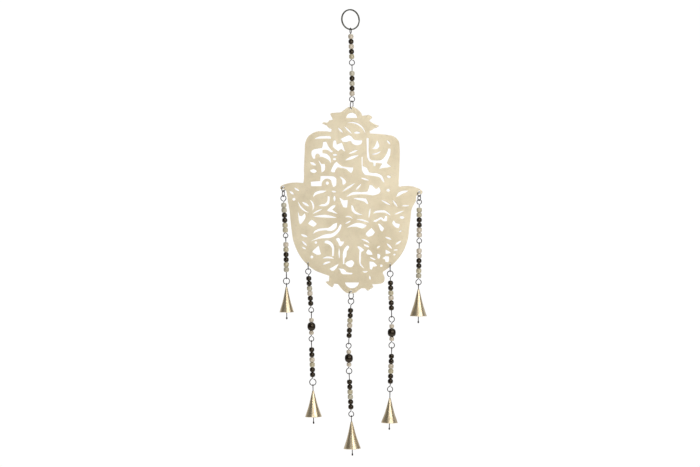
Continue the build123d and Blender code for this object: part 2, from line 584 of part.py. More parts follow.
# Top chain, from the split ring down to the plate
place = Vector(0, 0, ring_band_width / 2 - ring_mean_radius - wire_radius + ring_seat)
for link_name, link_sizes in top_chain_shares:
    place = hang_link(link_name, place, link_sizes)
place = hang_ring("plate_jump_ring", place, top_jump_ring_shares)

# Plate, whose top hole is where the jump ring passes through it
plate_zero = place - Vector(top_hole_shares[0] * square, 0, -top_hole_shares[1] * square)
plate_plane = Plane(origin=plate_zero, x_dir=(1, 0, 0), z_dir=(0, -1, 0))
plate_hole_radius = wire_radius + plate_hole_clearance
plate_openings = (
    crown_opening_shares
    + upper_left_opening_shares
    + upper_right_opening_shares
    + middle_opening_shares
    + lower_left_opening_shares
    + lower_middle_opening_shares
    + lower_right_opening_shares
)


def bowed_outline(shares):
    """Draws a closed outline of straight and bowed sides through its points."""
    corners = [Vector(x * square, -y * square) for x, y, bow in shares]
    for number, start in enumerate(corners):
        end = corners[(number + 1) % len(corners)]
        bow = shares[number][2] * square
        if bow:
            side = (end - start).normalized()
            ThreePointArc(start, (start + end) / 2 + Vector(-side.Y, side.X) * bow, end)
        else:
            Line(start, end)


plate_holes = {
    "top": (top_hole_shares, 90 - top_jump_ring_shares[1]),
    **{name: (sizes["hole"], 90 - abs(sizes["rings"][0][1][1])) for name, sizes in string_shares.items()},
}
with BuildPart() as hamsa_plate:
    with BuildSketch(plate_plane.offset(-plate_thickness / 2)):
        with BuildLine():
            bowed_outline(outline_shares)
        make_face()
        for opening in plate_openings:
            with BuildLine():
                bowed_outline(opening)
            make_face(mode=Mode.SUBTRACT)
        for (hole_x, hole_y), slant in plate_holes.values():
            slot_half = plate_thickness / 2 * tan(radians(slant)) + wire_radius / cos(radians(slant))
            with Locations((hole_x * square, -hole_y * square)):
                Circle(max(plate_hole_radius, slot_half + plate_hole_clearance), mode=Mode.SUBTRACT)
    extrude(amount=plate_thickness)
hamsa_plate.part.label = "hamsa_plate"
keep(hamsa_plate)
hang("hamsa_plate", place, 0)


def bell_outline(width_share, height_share):
    """The waist and foot of a bell, the slope of its upper part and its wall measured sideways."""
    radius = bell_width * width_share / 2
    height = bell_height * height_share
    waist_radius = radius * bell_waist_width_share
    waist_depth = height * bell_waist_depth_share
    slope = (waist_radius - bell_apex_width / 2) / waist_depth
    side_wall = bell_wall / cos(atan2(radius - waist_radius, height - waist_depth))
    return (waist_radius, -waist_depth), (radius, -height), slope, side_wall


def bell_shell(label, apex, lean, width_share, height_share, seam_turn):
    """A flared cone of sheet metal, open at its foot, with a hole at its tip and a lapped seam."""
    waist, foot, slope, side_wall = bell_outline(width_share, height_share)
    apex_radius = bell_apex_width / 2
    hole_radius = wire_radius + bell_hole_clearance
    hole_depth = (hole_radius + side_wall - apex_radius) / slope
    axis = Axis(apex, down_along(lean) * -1)
    with BuildPart() as bell:
        with BuildSketch(face_plane(apex, lean, 0)):
            with BuildLine():
                Polyline(
                    (hole_radius, 0),
                    (apex_radius, 0),
                    waist,
                    foot,
                    (foot[0] - side_wall, foot[1]),
                    (waist[0] - side_wall, waist[1]),
                    (hole_radius, -hole_depth),
                    close=True,
                )
            make_face()
        revolve(axis=axis)
        with BuildSketch(face_plane(apex, lean, seam_turn)):
            with BuildLine():
                Polyline(
                    (apex_radius - side_wall / 2, 0),
                    (apex_radius + bell_wall / 2, 0),
                    (waist[0] + bell_wall * 0.75, waist[1]),
                    (foot[0] + bell_wall, foot[1]),
                    (foot[0] - side_wall / 2, foot[1]),
                    (waist[0] - side_wall / 2, waist[1]),
                    close=True,
                )
            make_face()
        revolve(axis=axis, revolution_arc=bell_seam_angle)
    bell.part.label = label
    return bell


def hang_bell(name, point, sizes):
    """Makes a bell with its hanger and clapper on a point of wire."""
    width_share, height_share, upper_share, neck_share, turn, lean, seam_turn = sizes
    along = down_along(lean)
    upper_width = eye_width * upper_share
    upper_middle = point + along * (eye_radius(upper_width) - hang_step)
    apex = upper_middle + along * (eye_neck(upper_width) + eye_width * neck_share)
    waist, foot, slope, side_wall = bell_outline(width_share, height_share)
    inner_reach = eye_radius(hanger_inner_width) * corner_share + wire_diameter / 2
    inner_depth = (inner_reach + hanger_side_clearance + side_wall - bell_apex_width / 2) / slope
    lower_turn = turn + 90
    hanger = bent_wire(
        f"{name}_bell_hanger",
        apex,
        lean,
        (
            (turn, eye_width * neck_share, upper_width),
            (lower_turn, inner_depth - eye_neck(hanger_inner_width), hanger_inner_width),
        ),
    )
    keep(hanger)
    keep(bell_shell(f"{name}_bell", apex, lean, width_share, height_share, seam_turn))
    hook = apex + along * (inner_depth + eye_radius(hanger_inner_width))
    clapper_middle = hook + along * (eye_radius(clapper_eye_width) - hang_step)
    shaft_top = clapper_middle + along * eye_neck(clapper_eye_width)
    tip = apex + along * (clapper_below_rim - foot[1])
    shaft = (tip - shaft_top).length
    clapper_turn = turn
    clapper = bent_wire(
        f"{name}_clapper",
        shaft_top + along * (shaft / 2),
        lean,
        ((clapper_turn, shaft / 2, clapper_eye_width), (clapper_turn, shaft / 2, 0)),
    )
    with BuildPart() as clapper_with_tip:
        add(clapper.part)
        for from_share, to_share, lower, upper in ((0, 0.5, clapper_tip_end_share, 1), (0.5, 1, 1, clapper_tip_end_share)):
            for level, width_share in ((from_share, lower), (to_share, upper)):
                with BuildSketch(level_plane(tip - along * (clapper_tip_height * level), lean)):
                    RegularPolygon(clapper_tip_width / 2 * width_share, wire_sides)
            loft(ruled=True)
    clapper_with_tip.part.label = f"{name}_clapper"
    keep(clapper_with_tip)
    hang(f"{name}_bell_hanger", point, lean, turn, upper_width)
    hang(f"{name}_bell", apex, lean)
    hang(f"{name}_clapper", hook, lean, clapper_turn, clapper_eye_width)


# Strings, from the plate down to their bells
for string_name, string in string_shares.items():
    hole_x, hole_y = string["hole"]
    place = plate_zero + Vector(hole_x * square, 0, -hole_y * square)
    for number, (ring_name, ring_sizes) in enumerate(string["rings"]):
        place = hang_ring(f"{string_name}_{ring_name}", place, ring_sizes, in_plate=number == 0)
    for number, link_sizes in enumerate(string["links"], start=1):
        place = hang_link(f"{string_name}_link_{number}", place, link_sizes)
    if string["drop_ring"]:
        place = hang_ring(f"{string_name}_drop_ring", place, string["drop_ring"])
    hang_bell(string_name, place, string["bell"])

for name, (point, lean, turn, width) in supports.items():
    print(f"{name:26s} hangs at {point.X:8.2f} {point.Z:8.2f}  lean {lean:5.1f}  turn {turn:4d}")
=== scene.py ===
import json
import math
import random

import bpy
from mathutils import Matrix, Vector, noise


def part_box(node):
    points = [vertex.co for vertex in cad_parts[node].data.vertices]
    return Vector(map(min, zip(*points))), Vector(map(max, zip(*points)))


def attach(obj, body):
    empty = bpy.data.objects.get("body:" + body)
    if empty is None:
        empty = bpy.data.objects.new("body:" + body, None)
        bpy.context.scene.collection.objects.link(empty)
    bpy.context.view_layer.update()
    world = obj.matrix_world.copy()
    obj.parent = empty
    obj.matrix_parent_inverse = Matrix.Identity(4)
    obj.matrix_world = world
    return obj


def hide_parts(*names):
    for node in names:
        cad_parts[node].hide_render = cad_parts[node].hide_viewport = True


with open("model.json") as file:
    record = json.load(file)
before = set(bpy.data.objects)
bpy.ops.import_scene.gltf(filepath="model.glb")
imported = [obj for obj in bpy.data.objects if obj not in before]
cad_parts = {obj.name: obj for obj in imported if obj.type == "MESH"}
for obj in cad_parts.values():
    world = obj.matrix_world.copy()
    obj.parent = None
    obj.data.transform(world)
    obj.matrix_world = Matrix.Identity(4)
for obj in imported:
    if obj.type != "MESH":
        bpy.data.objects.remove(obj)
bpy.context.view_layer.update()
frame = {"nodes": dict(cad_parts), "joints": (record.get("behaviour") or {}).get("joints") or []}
print("stage: frame with", len(frame["nodes"]), "nodes")

# Shapes are worked out in millimetres and placed in metres, and away points from the camera
millimetre = 0.001
away = Vector((0, 1, 0))


# Camera, level with the middle of the ornament and far back, so that nothing looks tilted
cameraView = {
    "centre": Vector((-0.0008, 0, -0.3209)),
    "distance": 2.8,
    "frameWidth": 1.05,
    "sensor": 36,
    "farthest": 60,
}


def addCamera(view):
    data = bpy.data.cameras.new("camera")
    data.sensor_width = view["sensor"]
    data.lens = view["sensor"] * view["distance"] / view["frameWidth"]
    data.clip_end = view["farthest"]
    camera = bpy.data.objects.new("camera", data)
    camera.location = view["centre"] - away * view["distance"]
    camera.rotation_euler = (math.radians(90), 0, 0)
    bpy.context.scene.collection.objects.link(camera)
    bpy.context.scene.camera = camera


addCamera(cameraView)

# Soft boxes round the ornament
softBoxes = {
    "key": {"place": (0.72, -0.95, -0.05), "size": 0.9, "power": 6.4},
    "fill": {"place": (-0.3, -1.7, 0.85), "size": 1.4, "power": 3},
    "front": {"place": (0.1, -2.6, 0.05), "size": 0.8, "power": 9},
    "top": {"place": (0.2, -0.2, 1.6), "size": 1.5, "power": 12},
    "back": {"place": (0.3, 1.9, 0.6), "size": 1.6, "power": 14},
}


def addLights(boxes):
    aim = cameraView["centre"]
    for name, box in boxes.items():
        data = bpy.data.lights.new(name, "AREA")
        data.shape = "SQUARE"
        data.size = box["size"]
        data.energy = box["power"]
        light = bpy.data.objects.new(name, data)
        light.location = box["place"]
        light.rotation_mode = "QUATERNION"
        light.rotation_quaternion = (aim - light.location).to_track_quat("-Z", "Y")
        bpy.context.scene.collection.objects.link(light)


addLights(softBoxes)
bpy.context.scene.view_settings.view_transform = "Standard"
print("stage: camera and lights")


# A signal is one output socket, and sums and products of signals become Math nodes
class Signal:
    def __init__(self, graph, socket):
        self.graph = graph
        self.socket = socket

    def combine(self, operation, first, second):
        return self.graph.make("ShaderNodeMath", {"operation": operation}, {0: first, 1: second})

    def __add__(self, other):
        return self.combine("ADD", self, other)

    def __radd__(self, other):
        return self.combine("ADD", other, self)

    def __sub__(self, other):
        return self.combine("SUBTRACT", self, other)

    def __rsub__(self, other):
        return self.combine("SUBTRACT", other, self)

    def __mul__(self, other):
        return self.combine("MULTIPLY", self, other)

    def __rmul__(self, other):
        return self.combine("MULTIPLY", other, self)

    def bounded(self, low, high):
        return self.graph.make(
            "ShaderNodeMapRange",
            {"clamp": True},
            {"Value": self, "From Min": low, "From Max": high},
        )


class Graph:
    def __init__(self, tree):
        self.tree = tree

    def make(self, kind, settings, sockets, output=0):
        node = self.tree.nodes.new(kind)
        for name, value in settings.items():
            setattr(node, name, value)
        for name, value in sockets.items():
            if isinstance(value, Signal):
                self.tree.links.new(value.socket, node.inputs[name])
            else:
                node.inputs[name].default_value = value
        return Signal(self, node.outputs[output])

    def coordinates(self, kind="Object"):
        return self.make("ShaderNodeTexCoord", {}, {}, kind)

    def part(self, vector, axis):
        return self.make("ShaderNodeSeparateXYZ", {}, {0: vector}, axis)


# A Mix node has sockets for every kind of value, and these are the ones for colours
colourMix = {"share": 0, "first": 6, "second": 7, "result": 2}


class Paint(Graph):
    def __init__(self, name, constants):
        self.material = bpy.data.materials.new(name)
        self.material.use_nodes = True
        super().__init__(self.material.node_tree)
        self.shader = self.tree.nodes["Principled BSDF"]
        for socket, value in constants.items():
            self.shader.inputs[socket].default_value = value

    def stretched(self, vector, scale):
        return self.make("ShaderNodeMapping", {}, {"Vector": vector, "Scale": scale})

    def noise(self, vector, scale, detail=4.0, roughness=0.55):
        sockets = {"Vector": vector, "Scale": scale, "Detail": detail, "Roughness": roughness}
        return self.make("ShaderNodeTexNoise", {}, sockets)

    def mix(self, share, first, second):
        sockets = {
            colourMix["share"]: share,
            colourMix["first"]: first,
            colourMix["second"]: second,
        }
        settings = {"data_type": "RGBA", "clamp_factor": True}
        return self.make("ShaderNodeMix", settings, sockets, colourMix["result"])

    def drive(self, socket, signal):
        self.tree.links.new(signal.socket, self.shader.inputs[socket])

    def bump(self, height, strength, distance):
        sockets = {"Height": height, "Strength": strength, "Distance": distance}
        self.drive("Normal", self.make("ShaderNodeBump", {}, sockets))


def shade(red, green, blue):
    return (red, green, blue, 1)


# Room: pale behind the ornament, where the world's Y is high, and dimmer in front of it
room = {
    "colour": shade(1, 1, 1),
    "dim": 0.14,
    "bright": 0.6,
    "brightFrom": 0.0,
    "brightTo": 0.6,
    "backdrop": 1.02,
}


def addWorld(values):
    world = bpy.data.worlds.new("room")
    world.use_nodes = True
    graph = Graph(world.node_tree)
    wall = graph.make(
        "ShaderNodeMapRange",
        {},
        {
            "Value": graph.part(graph.coordinates("Generated"), "Y"),
            "From Min": values["brightFrom"],
            "From Max": values["brightTo"],
            "To Min": values["dim"],
            "To Max": values["bright"],
        },
    )
    rays = graph.make("ShaderNodeLightPath", {}, {}, "Is Camera Ray")
    strength = graph.make(
        "ShaderNodeMapRange",
        {},
        {"Value": rays, "To Min": wall, "To Max": values["backdrop"]},
    )
    background = world.node_tree.nodes["Background"]
    background.inputs["Color"].default_value = values["colour"]
    world.node_tree.links.new(strength.socket, background.inputs["Strength"])
    bpy.context.scene.world = world


addWorld(room)

# Plate: pale matt gold leaf over sheet metal, with painted shade that makes its cut edges darker
# and greyer
plateLook = {
    "constants": {"Metallic": 0.6, "Coat Weight": 0.08},
    "light": shade(0.74, 0.65, 0.47),
    "deep": shade(0.62, 0.53, 0.365),
    "edge": shade(0.25, 0.22, 0.15),
    "worn": shade(0.47, 0.385, 0.24),
    "fleck": shade(0.34, 0.28, 0.18),
    "cloudScale": 14,
    "cloudBounds": (0.35, 0.68),
    "cloudHeight": 0.4,
    "wornScale": 48,
    "wornDetail": 6,
    "wornRoughness": 0.65,
    "wornBounds": (0.5, 0.72),
    "wornShare": 0.3,
    "fleckScale": 560,
    "fleckBounds": (0.6, 0.74),
    "fleckShare": 0.2,
    "grainScale": 900,
    "fineDetail": 2,
    "edgeBounds": (0.35, 0.8),
    "roughness": 0.42,
    "roughnessSpread": 0.16,
    "bumpStrength": 0.16,
    "bumpDepth": 0.0003,
}


def paintPlate(look):
    paint = Paint("plate_gold", look["constants"])
    place = paint.coordinates()
    cloud = paint.noise(place, look["cloudScale"]).bounded(*look["cloudBounds"])
    grain = paint.noise(place, look["grainScale"], look["fineDetail"])
    worn = paint.noise(place, look["wornScale"], look["wornDetail"], look["wornRoughness"])
    worn = worn.bounded(*look["wornBounds"])
    fleck = paint.noise(place, look["fleckScale"], look["fineDetail"])
    fleck = fleck.bounded(*look["fleckBounds"])
    leaf = paint.mix(cloud, look["light"], look["deep"])
    leaf = paint.mix(worn * look["wornShare"], leaf, look["worn"])
    leaf = paint.mix(fleck * look["fleckShare"], leaf, look["fleck"])
    # A flat side faces along Y, and the cut edges face across it. The cut edges are painted
    # darker, as painted shade
    facing = paint.part(paint.make("ShaderNodeNewGeometry", {}, {}, "Normal"), "Y")
    flat = (facing * facing).bounded(*look["edgeBounds"])
    paint.drive("Base Color", paint.mix(flat, look["edge"], leaf))
    paint.drive("Roughness", grain * look["roughnessSpread"] + look["roughness"])
    height = grain + cloud * look["cloudHeight"] - fleck
    paint.bump(height, look["bumpStrength"], look["bumpDepth"])
    return paint.material


# Bells: burnished brass with light and dark streaks that run from tip to rim, which are painted
# reflection bands, and spots of dark tarnish
bellLook = {
    "constants": {"Metallic": 1.0},
    "bright": shade(0.98, 0.83, 0.57),
    "deep": shade(0.36, 0.25, 0.12),
    "tarnish": shade(0.2, 0.14, 0.07),
    "streakStretch": (9, 0.7, 1),
    "streakScale": 1.6,
    "streakBounds": (0.4, 0.74),
    "streakHeight": 0.3,
    "spotScale": 230,
    "spotBounds": (0.52, 0.74),
    "spotShare": 0.35,
    "spotHeight": -0.5,
    "roughness": 0.35,
    "roughnessSpread": 0.2,
    "bumpStrength": 0.12,
    "bumpDepth": 0.0004,
}


def paintBell(look):
    paint = Paint("bell_brass", look["constants"])
    around = paint.stretched(paint.coordinates("UV"), look["streakStretch"])
    reflectionStreak = paint.noise(around, look["streakScale"]).bounded(*look["streakBounds"])
    spot = paint.noise(paint.coordinates(), look["spotScale"]).bounded(*look["spotBounds"])
    # The bright and deep streaks round the bell are painted reflection bands
    metal = paint.mix(reflectionStreak, look["bright"], look["deep"])
    paint.drive("Base Color", paint.mix(spot * look["spotShare"], metal, look["tarnish"]))
    paint.drive("Roughness", spot * look["roughnessSpread"] + look["roughness"])
    height = spot * look["spotHeight"] + reflectionStreak * look["streakHeight"]
    paint.bump(height, look["bumpStrength"], look["bumpDepth"])
    return paint.material


# Wire: dull grey steel with a brown bloom, and a lighter split ring
wireLook = {
    "constants": {"Metallic": 1.0},
    "clean": shade(0.06, 0.05, 0.044),
    "bloom": shade(0.025, 0.018, 0.014),
    "scale": 260,
    "bounds": (0.38, 0.68),
    "roughness": 0.3,
    "roughnessSpread": 0.25,
}
ringLook = {
    **wireLook,
    "clean": shade(0.09, 0.09, 0.075),
    "bloom": shade(0.045, 0.045, 0.036),
    "scale": 190,
    "roughness": 0.26,
    "roughnessSpread": 0.2,
}


def paintWire(name, look):
    paint = Paint(name, look["constants"])
    bloom = paint.noise(paint.coordinates(), look["scale"]).bounded(*look["bounds"])
    paint.drive("Base Color", paint.mix(bloom, look["clean"], look["bloom"]))
    paint.drive("Roughness", bloom * look["roughnessSpread"] + look["roughness"])
    return paint.material


# Beads: milky cream glass with darker veins, and near black brown glass
creamLook = {
    "constants": {"IOR": 1.5, "Coat Weight": 0.35, "Coat Roughness": 0.12},
    "pale": shade(0.52, 0.48, 0.36),
    "vein": shade(0.34, 0.295, 0.19),
    "cloudScale": 120,
    "cloudDetail": 2,
    "cloudBounds": (0.4, 0.66),
    "cloudShare": 0.45,
    "veinScale": 420,
    "veinBounds": (0.52, 0.72),
    "veinShare": 0.55,
    "roughness": 0.28,
    "roughnessSpread": 0.2,
}
paleLook = {
    **creamLook,
    "pale": shade(0.62, 0.54, 0.42),
    "vein": shade(0.42, 0.35, 0.25),
}
honeyLook = {
    **creamLook,
    "pale": shade(0.54, 0.48, 0.32),
    "vein": shade(0.36, 0.305, 0.18),
}
darkLook = {
    **creamLook,
    "constants": {
        "IOR": 1.5,
        "Specular IOR Level": 0.55,
        "Specular Tint": shade(1, 0.85, 0.6),
    },
    "pale": shade(0.006, 0.002, 0.001),
    "vein": shade(0.003, 0.001, 0.0005),
    "veinScale": 300,
    "roughness": 0.12,
    "roughnessSpread": 0.1,
}


def paintBead(name, look):
    paint = Paint(name, look["constants"])
    place = paint.coordinates()
    cloud = paint.noise(place, look["cloudScale"], look["cloudDetail"])
    cloud = cloud.bounded(*look["cloudBounds"])
    vein = paint.noise(place, look["veinScale"]).bounded(*look["veinBounds"])
    share = cloud * look["cloudShare"] + vein * look["veinShare"]
    paint.drive("Base Color", paint.mix(share, look["pale"], look["vein"]))
    paint.drive("Roughness", vein * look["roughnessSpread"] + look["roughness"])
    return paint.material


# Floor: white and a little lit of itself, so that it stays pale far from the lights
floorLook = {
    "Base Color": shade(0.94, 0.94, 0.94),
    "Roughness": 0.9,
    "Emission Color": shade(1, 1, 1),
    "Emission Strength": 0.3,
}

plateGold = paintPlate(plateLook)
bellBrass = paintBell(bellLook)
wireSteel = paintWire("wire_steel", wireLook)
ringSteel = paintWire("ring_steel", ringLook)
creamGlass = paintBead("cream_glass", creamLook)
paleGlass = paintBead("pale_glass", paleLook)
honeyGlass = paintBead("honey_glass", honeyLook)
darkGlass = paintBead("dark_glass", darkLook)
floorWhite = Paint("floor_white", floorLook).material
print("stage: materials")


# A skin is stretched over rows of points. Each row is closed on itself, and the last row
# joins the first where the skin is closed. Where it is mapped, U runs round the rows.
def addSkin(name, rows, material, closed=False, mapped=False):
    columns = len(rows[0])
    points = [tuple(point) for row in rows for point in row]
    faces = []
    shares = []
    last = len(rows) if closed else len(rows) - 1
    for row in range(last):
        above = (row + 1) % len(rows)
        for column in range(columns):
            beside = (column + 1) % columns
            # Each corner's row and column, and the same before they come round again
            corners = (
                (row, column, row, column),
                (row, beside, row, column + 1),
                (above, beside, row + 1, column + 1),
                (above, column, row + 1, column),
            )
            faces.append([line * columns + spot for line, spot, level, turn in corners])
            shares.append([(turn / columns, level / last) for line, spot, level, turn in corners])
    if not closed:
        faces.append(list(range(columns))[::-1])
        faces.append(list(range(last * columns, len(points))))
    mesh = bpy.data.meshes.new(name)
    mesh.from_pydata(points, [], faces)
    if mapped:
        layer = mesh.uv_layers.new(name="around")
        for face, corners in zip(mesh.polygons, shares):
            for loop, share in zip(face.loop_indices, corners):
                layer.data[loop].uv = share
    mesh.materials.append(material)
    mesh.shade_smooth()
    mesh.update()
    skin = bpy.data.objects.new(name, mesh)
    bpy.context.scene.collection.objects.link(skin)
    return skin


def directions(points):
    last = len(points) - 1
    return [
        (points[min(number + 1, last)] - points[max(number - 1, 0)]).normalized()
        for number in range(len(points))
    ]


def hoop(point, side, other, radius, corners):
    reach = radius * millimetre
    turns = [2 * math.pi * corner / corners for corner in range(corners)]
    return [
        point + side * (reach * math.cos(turn)) + other * (reach * math.sin(turn))
        for turn in turns
    ]


# A tube follows points that lie near a plane, and side is square to that plane
def addTube(name, points, side, radii, corners):
    rows = [
        hoop(point, side, along.cross(side), radius, corners)
        for point, along, radius in zip(points, directions(points), radii)
    ]
    return addSkin(name, rows, wireSteel)


def dress(piece, body, node):
    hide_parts(node)
    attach(piece, body)


joints = {joint["name"]: joint for joint in frame["joints"]}


def jointPlace(name):
    joint = joints[name]
    return Vector(joint["pos_m"]), Vector(joint["axis"]).normalized()


# A direction square to up, turned by so many degrees from the view's right to its depth
def across(up, turn):
    right = Vector((up.z, 0, -up.x))
    return right * math.cos(math.radians(turn)) + away * math.sin(math.radians(turn))


def placed(curve, origin, up, turn):
    side = across(up, turn)
    return [origin + (side * point.x + up * point.y) * millimetre for point in curve]


# Wire: every eye is a round turn that ends beside its own shaft. An eye of the solids has
# nine straight sides, and its corners lie cornerShare times as far out as its sides.
wire = {
    "diameter": 1.25,
    "corners": 12,
    "neckShare": 1.18,
    "cornerShare": 1 / math.cos(math.radians(20)),
    "eyeWidth": 9.0,
    "arcStart": -45,
    "arcEnd": 258,
    "arcSteps": 30,
    "bendSteps": 9,
    "bendBelow": 0.3,
    "bendRise": 1.2,
    "bendRun": 0.9,
}


def eyeRadius(width):
    return (width - wire["diameter"]) / 2


def eyeNeck(width):
    return eyeRadius(width) * wire["cornerShare"] * wire["neckShare"]


def eyeCurve(reach, width):
    radius = eyeRadius(width)
    middle = reach + eyeNeck(width)
    start = math.radians(wire["arcStart"])
    first = Vector((0, reach - radius * wire["bendBelow"]))
    last = Vector((radius * math.cos(start), middle + radius * math.sin(start)))
    rise = Vector((0, radius * wire["bendRise"]))
    run = Vector((-math.sin(start), math.cos(start))) * radius * wire["bendRun"]
    curve = []
    # A smooth bend leads from the shaft into the turn
    for step in range(wire["bendSteps"]):
        share = step / wire["bendSteps"]
        square, cube = share**2, share**3
        curve.append(
            first * (2 * cube - 3 * square + 1)
            + rise * (cube - 2 * square + share)
            + last * (3 * square - 2 * cube)
            + run * (cube - square)
        )
    for step in range(wire["arcSteps"] + 1):
        share = step / wire["arcSteps"]
        angle = math.radians(wire["arcStart"] + (wire["arcEnd"] - wire["arcStart"]) * share)
        curve.append(Vector((radius * math.cos(angle), middle + radius * math.sin(angle))))
    return curve


# A straight shaft with an eye at each end, and each eye with its own turn, reach and width
def addEyedWire(name, origin, up, upper, lower):
    halves = []
    for direction, (turn, reach, width) in ((up, upper), (-up, lower)):
        curve = [Vector((0, 0))] + eyeCurve(reach, width)
        points = placed(curve, origin, direction, turn)
        halves.append(list(zip(points, directions(points))))
    # The path climbs from the lower eye's end to the upper eye's end, without the origin
    path = [(point, -along) for point, along in halves[1][:0:-1]] + halves[0][1:]
    start = across(-up, lower[0]).cross(-up)
    rows = []
    for point, along in path:
        # The first direction is carried along the wire, so that the skin does not twist
        start = (start - along * start.dot(along)).normalized()
        rows.append(hoop(point, start, along.cross(start), wire["diameter"] / 2, wire["corners"]))
    return addSkin(name, rows, wireSteel)


# Beads: D dark, L light, S small and B big. An outline of power 2 would be an ellipse,
# and a higher power squares its shoulders.
beads = {
    "D": {
        "height": 7.4,
        "width": 8.1,
        "power": 2.5,
        "glass": [darkGlass],
        "slot": "dark_glass",
    },
    "L": {
        "height": 7.4,
        "width": 8.1,
        "power": 3.4,
        "glass": [creamGlass, honeyGlass, paleGlass],
        "slot": "light_glass",
    },
    "S": {
        "height": 6.3,
        "width": 7.2,
        "power": 3.0,
        "glass": [paleGlass],
        "slot": "light_glass",
    },
    "B": {
        "height": 12.5,
        "width": 12.4,
        "power": 2.4,
        "glass": [darkGlass],
        "slot": "dark_glass",
    },
}
beadShape = {
    "gap": 0.1,
    "holeRadius": 0.78,
    "holeLevel": 0.9,
    "lipShare": 0.42,
    "columns": 32,
    "rows": 22,
    "wobble": 0.06,
    "wobbleScale": 220,
    "narrowest": 0.985,
    "seed": 7,
}
chance = random.Random(beadShape["seed"])


def beadProfile(radius, half, power):
    exponent = 2 / power
    lip = math.acos(beadShape["lipShare"] ** (1 / exponent))
    hole = half * beadShape["holeLevel"]
    profile = [(beadShape["holeRadius"], -hole)]
    for row in range(beadShape["rows"] + 1):
        angle = lip * (2 * row / beadShape["rows"] - 1)
        level = math.copysign(abs(math.sin(angle)) ** exponent, angle) / math.sin(lip) ** exponent
        profile.append((radius * math.cos(angle) ** exponent, half * level))
    profile.append((beadShape["holeRadius"], hole))
    return profile


def addBead(name, top, up, kind):
    bead = beads[kind]
    half = bead["height"] / 2
    radius = bead["width"] / 2 * chance.uniform(beadShape["narrowest"], 1)
    side = across(up, chance.uniform(0, 360))
    other = side.cross(up)
    middle = top - up * (half * millimetre)
    rows = []
    for distance, level in beadProfile(radius, half, bead["power"]):
        row = []
        for column in range(beadShape["columns"]):
            angle = 2 * math.pi * column / beadShape["columns"]
            way = side * math.cos(angle) + other * math.sin(angle)
            point = middle + (way * distance + up * level) * millimetre
            # The glass is a little uneven, but only inwards, and its hole is even
            if distance > beadShape["holeRadius"]:
                swell = noise.noise(point * beadShape["wobbleScale"]) * beadShape["wobble"]
                kept = distance + min(swell, 0)
                point = middle + (way * kept + up * level) * millimetre
            row.append(point)
        rows.append(row)
    return addSkin(name, rows, chance.choice(bead["glass"]), closed=True)


def addBeads(name, top, up, pattern):
    for number, kind in enumerate(pattern, start=1):
        top = top - up * (beadShape["gap"] * millimetre)
        piece = addBead(f"{name}_{number}", top, up, kind)
        dress(piece, name, name)
        top = top - up * (beads[kind]["height"] * millimetre)


def beadsLength(pattern):
    return sum(beads[kind]["height"] + beadShape["gap"] for kind in pattern) + beadShape["gap"]


# Links, as upper eye, upper neck, beads, lower neck and lower eye in shares of the eye
# width, then the turn of the upper and of the lower eye
links = {
    "top_link_1": (1.03, 0, "LDLDL", 0.05, 1.0, 105, 0),
    "top_link_2": (1.0, 0.14, "LDLDL", 0, 1.0, 90, 0),
    "outer_left_link_1": (1.0, 0.2, "LLDDLL", 0, 0.9, 0, 0),
    "outer_left_link_2": (0.9, 0, "LLDDLL", 0.17, 1.0, 90, 90),
    "inner_left_link_1": (1.03, 0.19, "DDLLDD", 0.18, 0.95, 0, 0),
    "inner_left_link_2": (0.93, 0.18, "SBS", 0.17, 0.93, 90, 0),
    "inner_left_link_3": (1.0, 0.17, "DDLLDD", 0.16, 1.2, 90, 0),
    "centre_link_1": (1.08, 0.53, "DDLLDD", 0.14, 0.93, 0, 90),
    "centre_link_2": (0.97, 0.14, "SBS", 0.15, 1.07, 0, 0),
    "centre_link_3": (0.97, 0.15, "DDLLDD", 0.25, 0.97, 90, 0),
    "inner_right_link_1": (1.1, 0.5, "DDLLDD", 0.23, 0.97, 0, 90),
    "inner_right_link_2": (1.05, 0.23, "SBS", 0.13, 1.07, 0, 0),
    "inner_right_link_3": (1.0, 0.13, "DDLLDD", 0.36, 1.0, 90, 0),
    "outer_right_link_1": (0.9, 0.44, "LLDDLL", 0.06, 0.93, 0, 0),
    "outer_right_link_2": (0.97, 0.06, "LLDDLL", 0.08, 1.03, 90, 0),
}


def addLink(name, sizes):
    upper, upperNeck, pattern, lowerNeck, lower, upperTurn, lowerTurn = sizes
    top, up = jointPlace(f"{name}_beads_spin")
    width = wire["eyeWidth"]
    length = beadsLength(pattern)
    middle = top - up * (length / 2 * millimetre)
    shaft = addEyedWire(
        f"{name}_round_wire",
        middle,
        up,
        (upperTurn, length / 2 + width * upperNeck, width * upper),
        (lowerTurn, length / 2 + width * lowerNeck, width * lower),
    )
    dress(shaft, name, f"{name}_wire")
    addBeads(f"{name}_beads", top, up, pattern)


for linkName, linkSizes in links.items():
    addLink(linkName, linkSizes)
print("stage: links and beads")

# Jump rings, as outer width, turn and lean
jumpRings = {
    "plate_jump_ring": (12.9, 70, -7),
    "outer_left_thumb_ring": (8.0, 45, 0),
    "outer_left_lower_ring": (10.5, -68, 0),
    "outer_left_drop_ring": (10.5, 0, 0),
    "inner_left_jump_ring": (12.0, 90, 0),
    "centre_jump_ring": (13.0, 55, 0),
    "inner_right_jump_ring": (13.0, 90, 0),
    "outer_right_thumb_ring": (8.1, 45, 0),
    "outer_right_lower_ring": (9.0, -60, 0),
}
ringShape = {"steps": 56, "mouth": 0.35, "offset": 0.12}


